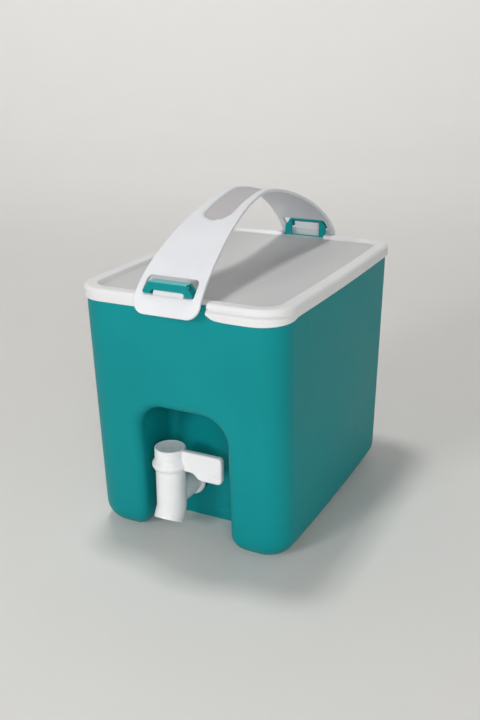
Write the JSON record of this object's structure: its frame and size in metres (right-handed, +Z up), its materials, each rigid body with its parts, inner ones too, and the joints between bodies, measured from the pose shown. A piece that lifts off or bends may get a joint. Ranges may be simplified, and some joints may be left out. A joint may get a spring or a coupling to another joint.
{
  "type": "water jug with tap",
  "caption": "Rectangular water jug with a tap in a front alcove, a sunken lift-off lid and a flexible carry strap buttoned over end hooks.",
  "frame": {"origin": "centre of the base, on the surface that the jug stands on", "axes": "+Z up, front with the tap at -Y, +X to the right seen from the front"},
  "size_m": [0.205, 0.3214, 0.3086],
  "materials": {
    "teal_tub": "satin moulded polypropylene",
    "white_lid": "satin moulded plastic",
    "white_strap": "soft satin flexible plastic",
    "white_tap": "semi-gloss moulded plastic",
    "seal_rubber": "matt rubber"
  },
  "bodies": {
    "base": {"tub": "teal_tub", "tap_body": "white_tap", "tap_outer_washer": "seal_rubber", "tap_inner_washer": "seal_rubber", "tap_lock_nut": "white_tap"},
    "valve": {"tap_lever": "white_tap", "plug_ring_upper": "seal_rubber", "plug_ring_lower": "seal_rubber"},
    "cover": {"lid": "white_lid"},
    "handle": {"carry_strap": "white_strap"}
  },
  "joints": [
    {"name": "tap_turn", "type": "hinge", "parent": "base", "child": "valve", "pos_m": [-0.021, -0.122, 0.069], "axis": [0, 0, 1], "range_deg": [-90, 0]},
    {"name": "strap_lift", "type": "slide", "parent": "base", "child": "handle", "axis": [0, 0, 1], "range_m": [0, 0.12], "deforming": ["carry_strap"]},
    {"name": "lid_lift", "type": "slide", "parent": "base", "child": "cover", "axis": [0, 0, 1], "range_m": [0, 0.06]}
  ],
  "couplings": [
    {"joint": "lid_lift", "follows": "strap_lift", "ratio": 0.5}
  ]
}
